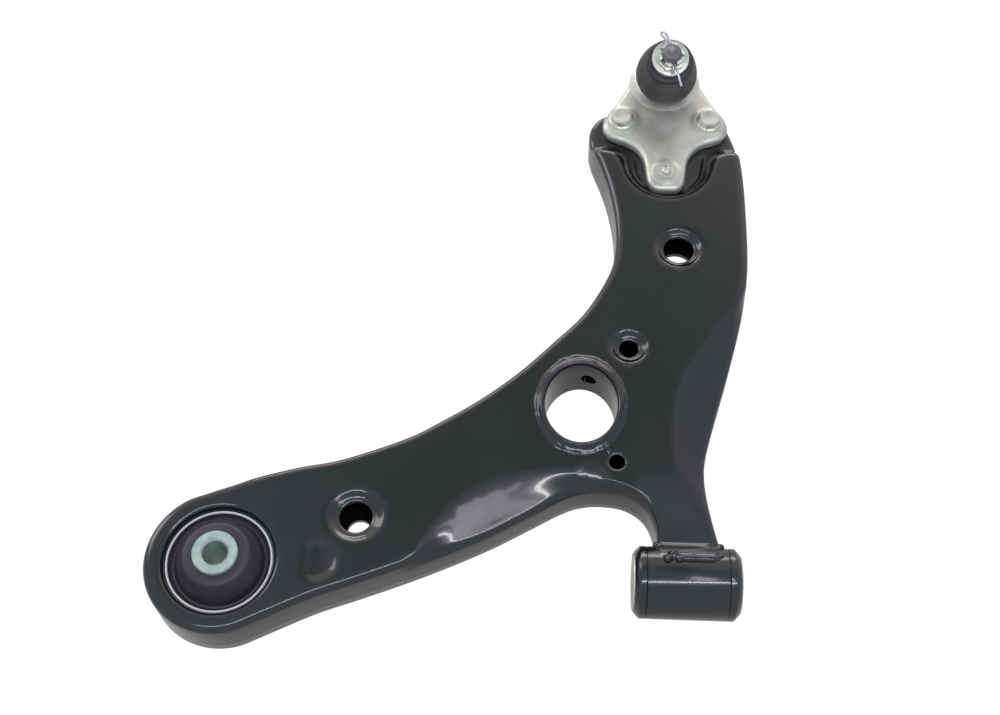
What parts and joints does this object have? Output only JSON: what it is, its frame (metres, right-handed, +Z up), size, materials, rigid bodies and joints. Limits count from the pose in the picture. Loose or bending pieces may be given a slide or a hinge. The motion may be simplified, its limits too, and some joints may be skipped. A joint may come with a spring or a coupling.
{
  "type": "lower control arm",
  "caption": "Pressed-steel lower suspension control arm with two rubber bushes, a centre tube and a bolt-on ball joint with a castle nut.",
  "frame": {"origin": "centre of the front bush's bore, midway along its sleeve", "axes": "+X along the front bush's axis towards the front of the vehicle, so the line through both bush centres is the X axis; +Y outboard, from the bushes to the ball joint; +Z up, along the rear bush's axis and towards the stud's end"},
  "size_m": [0.3425, 0.4111, 0.095],
  "materials": {
    "e_coat": "gloss",
    "zinc": "satin",
    "bare_steel": "satin",
    "rubber": "matte",
    "polymer": "satin"
  },
  "bodies": {
    "arm": {"upper_shell": "e_coat", "lower_shell": "e_coat", "shell_seam_weld": "e_coat", "centre_tube": "e_coat", "centre_tube_weld": "e_coat", "front_bush_housing": "e_coat", "front_housing_weld": "e_coat", "front_bush_outer_shell": "bare_steel", "front_bush_rubber": "rubber", "rear_bush_outer_shell": "zinc", "rear_bush_rubber": "rubber", "ball_joint_plate": "zinc", "ball_seat": "polymer", "ball_joint_end_cap": "zinc", "boot_lower_ring": "bare_steel", "mounting_bolts": "zinc", "mounting_nuts": "zinc", "tab_rivet": "zinc"},
    "front_sleeve": {"front_bush_inner_sleeve": "zinc"},
    "rear_sleeve": {"rear_bush_inner_sleeve": "zinc"},
    "boot_middle": {"dust_boot": "rubber"},
    "boot_top": {"boot_upper_ring": "bare_steel"},
    "stud": {"ball_stud": "bare_steel", "castle_nut": "zinc", "cotter_pin": "zinc"}
  },
  "joints": [
    {"name": "front_bush_twist", "type": "hinge", "parent": "arm", "child": "front_sleeve", "pos_m": [0, 0, 0], "axis": [1, 0, 0], "range_deg": [-20, 20], "stiffness_Nm_per_rad": 40},
    {"name": "rear_bush_tilt", "type": "hinge", "parent": "arm", "child": "rear_sleeve", "pos_m": [-0.259, 0, 0], "axis": [1, 0, 0], "range_deg": [-9, 9], "stiffness_Nm_per_rad": 60, "deforming": ["rear_bush_rubber"]},
    {"name": "ball_side_tilt", "type": "hinge", "parent": "arm", "child": "boot_middle", "pos_m": [-0.0085, 0.3425, 0.0145], "axis": [0, 1, 0], "range_deg": [-18, 18], "deforming": ["dust_boot"]},
    {"name": "ball_fore_tilt", "type": "hinge", "parent": "boot_middle", "child": "boot_top", "pos_m": [-0.0085, 0.3425, 0.0145], "axis": [1, 0, 0], "range_deg": [-28, 10]},
    {"name": "stud_spin", "type": "hinge", "parent": "boot_top", "child": "stud", "pos_m": [-0.0085, 0.3425, 0.0145], "axis": [0, -0.342, 0.9397], "continuous": true}
  ]
}
